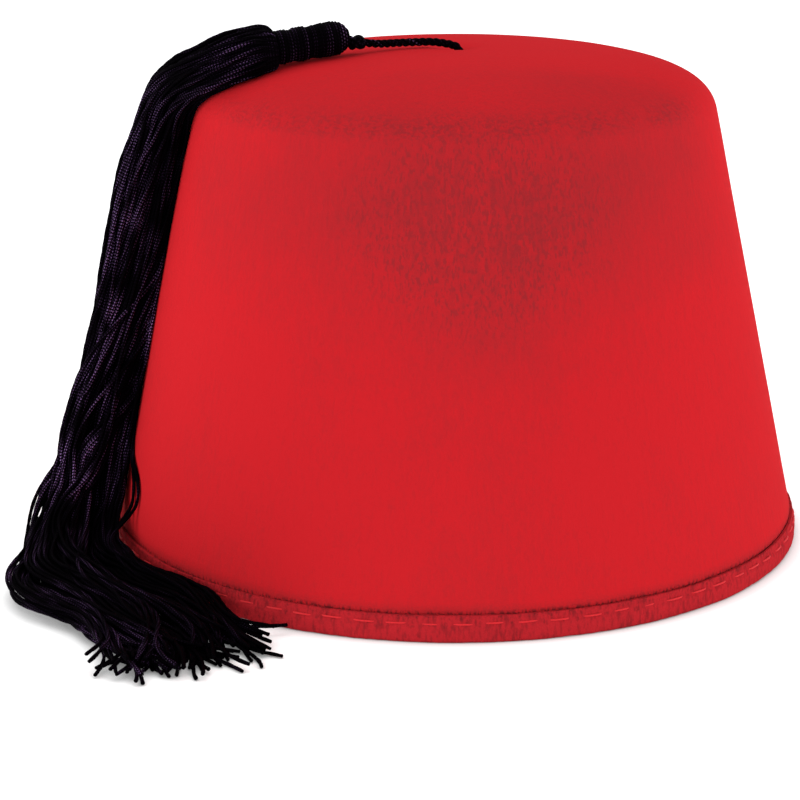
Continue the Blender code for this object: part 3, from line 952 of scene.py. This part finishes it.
def calc(tree, operation, first, second=0.0, third=0.0):
    """A Math node's result."""
    feeds = {0: first, 1: second, 2: third}
    return node(tree, "ShaderNodeMath", feeds, operation=operation).outputs[0]


def times(tree, first, second):
    """The product of two values."""
    return calc(tree, "MULTIPLY", first, second)


def apart(tree, first, second):
    """How far two values are apart, without a sign."""
    return calc(tree, "ABSOLUTE", calc(tree, "SUBTRACT", first, second))


def noise(tree, place, scale, detail=2.0, stretch=(1.0, 1.0, 1.0)):
    """A cloud pattern from 0 to 1, whose spots are about 1 / scale metres wide."""
    moved = node(tree, "ShaderNodeMapping", {"Vector": place, "Scale": stretch}).outputs[0]
    feeds = {"Vector": moved, "Scale": scale, "Detail": detail}
    return node(tree, "ShaderNodeTexNoise", feeds).outputs[0]


def rise(tree, value, start, end):
    """0 up to start, rising smoothly to 1 at end. Of a noise, it picks out the spots."""
    feeds = {"Value": value, "From Min": start, "From Max": end}
    return node(tree, "ShaderNodeMapRange", feeds, interpolation_type="SMOOTHSTEP").outputs[0]


def fade(tree, value, start, end):
    """1 up to start, falling smoothly to 0 at end."""
    return calc(tree, "SUBTRACT", 1.0, rise(tree, value, start, end))


def blend(tree, factor, first, second):
    """The first colour where the factor is 0, the second where it is 1."""
    mixer = node(tree, "ShaderNodeMix", data_type="RGBA")
    for socket, value in ((0, factor), (6, first), (7, second)):
        if isinstance(value, bpy.types.NodeSocket):
            tree.links.new(value, mixer.inputs[socket])
        else:
            mixer.inputs[socket].default_value = value
    return mixer.outputs[2]


def finish_material(name, roughness, **settings):
    """A material whose shader has these settings, with its node tree and its shader."""
    material = bpy.data.materials.new(name)
    material.use_nodes = True
    shader = material.node_tree.nodes["Principled BSDF"]
    shader.inputs["Roughness"].default_value = roughness
    for socket, value in settings.items():
        shader.inputs[socket.replace("_", " ")].default_value = value
    return material, material.node_tree, shader


def add_bump(tree, shader, height, depth, strength):
    """Let the finish look as rough as this height pattern, without moving the mesh."""
    feeds = {"Height": height, "Distance": depth, "Strength": strength}
    bump = node(tree, "ShaderNodeBump", feeds)
    tree.links.new(bump.outputs[0], shader.inputs["Normal"])

# %% Pattern helpers
def about(tree, value, middle, scale):
    """(value - middle) * scale"""
    return times(tree, calc(tree, "SUBTRACT", value, middle), scale)


def object_place(tree):
    """The place in Object coordinates, whole and as x, y and z."""
    place = node(tree, "ShaderNodeTexCoord").outputs["Object"]
    return place, *node(tree, "ShaderNodeSeparateXYZ", {"Vector": place}).outputs


def total(tree, *values):
    """The sum of the values."""
    result = values[0]
    for value in values[1:]:
        result = calc(tree, "ADD", result, value)
    return result


def from_zero(tree, first, second):
    """How far a place with these two coordinates is from zero."""
    squares = calc(tree, "MULTIPLY_ADD", first, first, times(tree, second, second))
    return calc(tree, "SQRT", squares)

# %% [markdown]
# ## Red felt
#
# Pressed wool is dull and even from afar. Near by it shows soft blotches, a fine
# grain and faint upright fibres. High on the front a darker patch of painted shade
# has the felt's upright streaks and flecks painted darker in it, and a mottled line
# of painted shade follows the shoulder's crease. To both sides of the patch the
# upper front gets painted shade too, and the top is painted a little lighter. Just
# above the hem the felt gets speckled painted shade, darkest in the gap under the
# hem's edge. All of it is noise on Object coordinates, blended between a bright
# red and a greyer, darker one.

# %% Felt material
BRIGHT_RED = (0.530, 0.0138, 0.0190, 1.0)
DULL_RED = (0.300, 0.0185, 0.0230, 1.0)
# The colour of the painted shade in the gap above the hem.
GAP_SHADE_RED = (0.150, 0.0120, 0.0150, 1.0)
FELT_SHEEN = (1.0, 0.05, 0.06, 1.0)
SHADE_PATCH_X, SHADE_PATCH_Z = 6.0 * MM, 98.5 * MM  # the painted shade patch's middle
SHADE_PATCH_WIDE, SHADE_PATCH_TALL = 44 * MM, 37 * MM  # and half its size
FRONT = (-45 * MM, -20 * MM)  # y, where the shaded front ends
UPPER_SIDE = (68 * MM, 112 * MM)  # heights, as are the three below
TOP_EDGE = (124 * MM, 131 * MM)
FOOT_SHADE = (7.5 * MM, 10.0 * MM)
GAP_SHADE_ZONE = (7.0 * MM, 8.2 * MM)
SHOULDER_LINE = 121.5 * MM
LINE_EDGE = (0.6 * MM, 4.6 * MM)  # from the shoulder line

red_felt, tree, shader = finish_material("red_felt", 0.95, Sheen_Weight=0.08, Sheen_Roughness=0.5,
                                         Sheen_Tint=FELT_SHEEN, Specular_IOR_Level=0.02)
place, x, y, z = object_place(tree)
blotches = noise(tree, place, 38.0)
grain = noise(tree, place, 1700.0)
fibres = noise(tree, place, 800.0, 3.0, stretch=(1.0, 1.0, 0.14))
flecks = noise(tree, place, 1500.0, stretch=(1.0, 1.0, 0.36))
streaks = noise(tree, place, 760.0, stretch=(1.0, 1.0, 0.26))
dabs = noise(tree, place, 1500.0, stretch=(0.5, 0.5, 1.0))
# Painted shade: a darker patch high on the front, with the felt's streaks and flecks painted darker
# in it.
right = about(tree, x, SHADE_PATCH_X, 1 / SHADE_PATCH_WIDE)
from_middle = from_zero(tree, right, about(tree, z, SHADE_PATCH_Z, 1 / SHADE_PATCH_TALL))
front = fade(tree, y, *FRONT)
patch_shade = times(tree, fade(tree, from_middle, 0.00, 1.45), front)
streaked = times(tree, fade(tree, from_middle, 0.25, 0.95), front)
# Painted shade on the upper front to both sides of the patch, more on the right.
to_right = times(tree, right, 0.08)
aside = calc(tree, "MULTIPLY_ADD", calc(tree, "ABSOLUTE", right), 0.28, to_right)
upper = rise(tree, z, *UPPER_SIDE)
side_shade = times(tree, aside, upper)
# Painted shade: a mottled line along the front of the shoulder's crease.
from_line = apart(tree, z, SHOULDER_LINE)
band_patches = rise(tree, noise(tree, place, 90.0), 0.26, 0.52)
shoulder_shade = times(tree, fade(tree, from_line, *LINE_EDGE), front)
shoulder_shade = times(tree, shoulder_shade, band_patches)
# Painted shade just above the hem, speckled, darkest in the gap under its edge.
foot = fade(tree, z, *FOOT_SHADE)
# Painted light: the top a little lighter.
lit_top = rise(tree, z, *TOP_EDGE)
gap_shade = fade(tree, z, *GAP_SHADE_ZONE)
dark_flecks = rise(tree, flecks, 0.50, 0.66)
dark_dabs = rise(tree, dabs, 0.44, 0.62)
marks = total(tree, times(tree, dark_flecks, 0.62), about(tree, streaks, 0.50, 1.0))
# The felt's own blotches and grain, with the painted shade and light.
tone_and_shade = total(
    tree,
    about(tree, blotches, 0.44, 0.55),
    about(tree, fibres, 0.50, 0.45),
    about(tree, grain, 0.50, 0.35),
    times(tree, dark_flecks, 0.10),
    times(tree, patch_shade, 0.60),
    times(tree, lit_top, -0.10),
    times(tree, side_shade, front),
    times(tree, streaked, marks),
    times(tree, shoulder_shade, calc(tree, "MULTIPLY_ADD", dark_dabs, 0.38, 0.06)),
    times(tree, foot, times(tree, grain, 0.7)),
)
tone_and_shade = node(tree, "ShaderNodeClamp", {"Value": tone_and_shade}).outputs[0]
red = blend(tree, tone_and_shade, BRIGHT_RED, DULL_RED)
# Painted shade in specks in the gap above the hem.
speckled_gap_shade = times(tree, gap_shade, rise(tree, flecks, 0.44, 0.58))
tree.links.new(blend(tree, speckled_gap_shade, red, GAP_SHADE_RED), shader.inputs["Base Color"])
streaks_and_band = total(tree, streaked, shoulder_shade, 0.15)
relief = times(tree, streaks_and_band, total(tree, flecks, streaks, dabs))
height = total(tree, times(tree, grain, 0.5), fibres, times(tree, relief, 1.8))
add_bump(tree, shader, height, 0.16 * MM, 0.6)
crown.data.materials.append(red_felt)
print("red felt: %d nodes" % len(tree.nodes))

# %% [markdown]
# ## Hem felt and thread
#
# The hem's felt is cut across, so it is rougher and darker, with short upright
# pile. Speckled painted shade runs along its raw top edge, under the crown's felt,
# and small spots of painted shade sit in the holes where the thread dives in,
# between one stitch and the next.

# %% Hem material
HEM_RED = (0.440, 0.0165, 0.0230, 1.0)
HEM_DARK = (0.150, 0.0120, 0.0150, 1.0)
EDGE_SHADE_ZONE = (4.6 * MM, 7.0 * MM)  # heights
HOLE_HEIGHT = 4.6 * MM
HOLE_TALL = (0.3 * MM, 1.0 * MM)
HOLE_WIDE = (0.02, 0.11)  # of the way to the next stitch

hem_felt, tree, shader = finish_material("hem_felt", 0.98, Sheen_Weight=0.08, Sheen_Roughness=0.6,
                                         Sheen_Tint=FELT_SHEEN, Specular_IOR_Level=0.02)
place, x, y, z = object_place(tree)
pile = noise(tree, place, 1200.0, 3.0, stretch=(1.0, 1.0, 0.32))
specks = noise(tree, place, 1300.0, 3.0)
patches = noise(tree, place, 170.0, 3.0)
# Painted shade: specks along the top edge, under the crown's felt.
edge_shade = rise(tree, z, *EDGE_SHADE_ZONE)
# Painted shade in the holes where the thread dives in, between the stitches.
turn = times(tree, calc(tree, "ARCTAN2", y, x), STITCH_COUNT / math.tau)
from_hole = apart(tree, calc(tree, "FRACT", turn), 0.5)
from_row = apart(tree, z, HOLE_HEIGHT)
hole_shade = times(tree, fade(tree, from_hole, *HOLE_WIDE), fade(tree, from_row, *HOLE_TALL))
dotted = rise(tree, specks, 0.46, 0.62)
strokes = rise(tree, pile, 0.47, 0.66)
# The hem's own pile and patches, with the painted shade.
tone_and_shade = total(
    tree,
    0.08,
    about(tree, pile, 0.50, 0.9),
    about(tree, patches, 0.50, 0.6),
    times(tree, edge_shade, calc(tree, "MULTIPLY_ADD", dotted, 0.36, 0.03)),
    times(tree, strokes, 0.28),
    times(tree, hole_shade, calc(tree, "MULTIPLY_ADD", dotted, 0.38, 0.08)),
)
tone_and_shade = node(tree, "ShaderNodeClamp", {"Value": tone_and_shade}).outputs[0]
tree.links.new(blend(tree, tone_and_shade, HEM_RED, HEM_DARK), shader.inputs["Base Color"])
add_bump(tree, shader, total(tree, pile, specks), 0.35 * MM, 0.8)
hem.data.materials.append(hem_felt)
print("hem felt: %d nodes" % len(tree.nodes))

# %% Thread material
THREAD_RED = (0.76, 0.020, 0.028, 1.0)
THREAD_SHADE = (0.52, 0.014, 0.019, 1.0)
red_thread, tree, shader = finish_material("red_thread", 0.60, Sheen_Weight=0.05,
                                           Specular_IOR_Level=0.15)
fibre = noise(tree, object_place(tree)[0], 2600.0)
tree.links.new(blend(tree, fibre, THREAD_RED, THREAD_SHADE), shader.inputs["Base Color"])
add_bump(tree, shader, fibre, 0.05 * MM, 0.6)
stitches.data.materials.append(red_thread)
print("red thread: %d nodes" % len(tree.nodes))

# %% [markdown]
# ## Knitted yarn
#
# Each strand is a tiny knitted tube. Its loops make columns of V shapes, whose
# glints are painted into its colour as rows of violet dots on nearly black cord.
# The UV map counts loops along the cord, so a sine of that count, bent into a V
# round the cord, gives both the bump and the painted highlight dots. Painted light
# picks out patches of locks, and a slow noise of the cord's number and the same
# count paints some strands lit while their neighbours stay black. Painted shade
# dims the strands high up, some millimetres off the felt, and on the floor, most
# of all near the hat. How far they are off the felt follows from the crown's taper.

# %% Yarn material
YARN_DARK = (0.0006, 0.0002, 0.0008, 1.0)
# The colour of the painted highlight dots.
GLINT_VIOLET = (0.465, 0.248, 0.620, 1.0)
LOOP_COLUMNS = 4
LOW = (6 * MM, 20 * MM)  # heights, as are the two below
UPPER = (82 * MM, 102 * MM)
CREST = (114 * MM, 124 * MM)
FLOOR_WAY = (-0.8, -0.6)  # away from the hat, where the skirt lies
NEAR_HAT = (116 * MM, 127 * MM)  # that way from the axis
OFF_FELT = (1.2 * MM, 3.5 * MM)  # from the felt, as is the next
OUTERMOST = (8.0 * MM, 12.0 * MM)
TAPER = (SIDE_FOOT_RADIUS - SHOULDER_RADIUS) / (SHOULDER_HEIGHT - SIDE_FOOT_HEIGHT)
FOOT_RADIUS = SIDE_FOOT_RADIUS + TAPER * SIDE_FOOT_HEIGHT

yarn, tree, shader = finish_material("knitted_yarn", 0.60, Specular_IOR_Level=0.01)
uv = node(tree, "ShaderNodeUVMap", uv_map="yarn").outputs[0]
round_cord, loops_along, _ = node(tree, "ShaderNodeSeparateXYZ", {"Vector": uv}).outputs
# The knit pattern gives the bump and the painted highlight dots.
column = calc(tree, "FRACT", times(tree, round_cord, float(LOOP_COLUMNS)))
lean = apart(tree, column, 0.5)
loop = calc(tree, "SINE", times(tree, calc(tree, "ADD", loops_along, lean), math.tau))
loop = calc(tree, "MULTIPLY_ADD", loop, 0.5, 0.5)
groove = calc(tree, "SINE", times(tree, column, math.pi))
knit = times(tree, loop, groove)
# Painted light: a slow noise of each strand's number lights some strands and leaves their neighbours
# black.
strand = times(tree, calc(tree, "FLOOR", round_cord), 7.7)
stretch_of_strand = times(tree, loops_along, 0.04)
strand_place = node(tree, "ShaderNodeCombineXYZ", {0: strand, 1: stretch_of_strand}).outputs[0]
painted_glint = rise(tree, noise(tree, strand_place, 1.0, 1.0), 0.45, 0.62)
place, x, y, z = object_place(tree)
# Painted light: lit and unlit patches about the size of a lock.
locks = rise(tree, noise(tree, place, 65.0), 0.34, 0.58)
# Painted shade on the floor, strongest near the hat.
outward = calc(tree, "MULTIPLY_ADD", x, FLOOR_WAY[0], times(tree, y, FLOOR_WAY[1]))
inner = calc(tree, "MULTIPLY_ADD", fade(tree, outward, *NEAR_HAT), 0.38, 0.62)
low = times(tree, fade(tree, z, *LOW), inner)
dimmed = calc(tree, "MULTIPLY_ADD", low, -0.93, 1.0)
# Painted shade high up on the tassel, a little less at the crest.
upper = rise(tree, z, *UPPER)
crest = rise(tree, z, *CREST)
upper = times(tree, upper, calc(tree, "MULTIPLY_ADD", crest, -0.08, 0.60))
dimmed = times(tree, dimmed, calc(tree, "SUBTRACT", 1.0, upper))
# Painted shade on strands some millimetres off the felt.
from_axis = from_zero(tree, x, y)
from_felt = total(tree, from_axis, times(tree, z, TAPER), -FOOT_RADIUS)
behind = rise(tree, from_felt, *OFF_FELT)
behind = times(tree, behind, fade(tree, from_felt, *OUTERMOST))
dimmed = times(tree, dimmed, calc(tree, "MULTIPLY_ADD", behind, -0.55, 1.0))
# All the painted light and shade of the yarn together.
shine = times(tree, calc(tree, "MULTIPLY_ADD", locks, 0.82, 0.06), dimmed)
shine = times(tree, shine, calc(tree, "MULTIPLY_ADD", painted_glint, 1.22, 0.05))
# Painted highlights: the knit's dots, as bright as the painted light allows.
bright = times(tree, calc(tree, "POWER", knit, 3.5), shine)
tree.links.new(blend(tree, bright, YARN_DARK, GLINT_VIOLET), shader.inputs["Base Color"])
add_bump(tree, shader, knit, 0.16 * MM, 0.9)
for piece in (cord, head, core, knot, *skirts):
    piece.data.materials.append(yarn)
print("knitted yarn: %d nodes" % len(tree.nodes))

# %% [markdown]
# ## Floor and light
#
# The hat stands on a plain white floor under soft light from all round: a pale
# sky, a large lamp at each side of the camera and one overhead. The side lamps
# light the flanks of the crown more than its front. The floor glows a little, so
# that it stays white, and throws light back up at the foot. Where something stands
# on it, an Ambient Occlusion node darkens the floor, so that the hat keeps a thin
# contact shadow in all that light.

# %% Floor
FLOOR_SIDE = 8.0
FLOOR_GLOW = 0.46
FLOOR_WHITE = (0.96, 0.96, 0.96, 1.0)
FLOOR_SHADE = (0.94, 0.94, 0.94, 1.0)
CONTACT_GREY = (0.27, 0.27, 0.27, 1.0)
CONTACT_REACH = 4.8 * MM

start_fresh()
bpy.ops.mesh.primitive_plane_add(size=FLOOR_SIDE, location=(0.0, 0.0, 0.0))
floor = bpy.context.object
floor.name = "floor"
paper, tree, shader = finish_material("white_paper", 0.9, Specular_IOR_Level=0.1,
                                      Emission_Strength=FLOOR_GLOW)
white = blend(tree, noise(tree, object_place(tree)[0], 3.0), FLOOR_SHADE, FLOOR_WHITE)
near = node(tree, "ShaderNodeAmbientOcclusion", {"Distance": CONTACT_REACH}, samples=16)
white = blend(tree, near.outputs["AO"], CONTACT_GREY, white)
tree.links.new(white, shader.inputs["Base Color"])
tree.links.new(white, shader.inputs["Emission Color"])
floor.data.materials.append(paper)
print("floor: %.0f m wide" % FLOOR_SIDE)

# %% Sky and lamps
SKY_STRENGTH = 0.55
AIM = np.array([0.0, 0.0, 0.06])  # all lamps point at the middle of the hat
Lamp = namedtuple("Lamp", "name place size power")
LAMPS = [
    Lamp("lamp_left", (-1.62, -0.62, 0.54), 1.0, 15.3),
    Lamp("lamp_right", (1.62, -0.62, 0.54), 1.0, 12.8),
    Lamp("lamp_above", (0.0, 0.45, 2.2), 2.8, 22.5),
]

sky = bpy.data.worlds.new("soft_sky")
sky.use_nodes = True
background = sky.node_tree.nodes["Background"]
background.inputs["Color"].default_value = (1.0, 1.0, 1.0, 1.0)
background.inputs["Strength"].default_value = SKY_STRENGTH
scene.world = sky
for lamp in LAMPS:
    light = bpy.data.lights.new(lamp.name, "AREA")
    light.size = lamp.size
    light.energy = lamp.power
    holder = bpy.data.objects.new(lamp.name, light)
    holder.location = lamp.place
    x, y, z = AIM - np.array(lamp.place)
    tilt = math.atan2(math.hypot(x, y), -z)
    holder.rotation_euler = (tilt, 0.0, math.atan2(x, -y) + math.pi)
    scene.collection.objects.link(holder)
print("lamps: %s" % ", ".join(lamp.name for lamp in LAMPS))

# %% [markdown]
# ## Joining the hat
#
# Every new piece rides on the hat's one body, stands in for the plain solid that
# it dresses, and wears the finish made for it above. The new cord stands in for
# the plain cord, and the head, its core, the knot and the strands for the plain tassel.

# %% Ride and replace
for piece in (crown, hem, stitches, cord, head, core, knot, *skirts):
    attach(piece, "root")
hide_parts("crown")
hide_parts("hem_band")
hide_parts("tassel_cord")
for piece in (head, core, knot, *skirts):
    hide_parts("tassel")
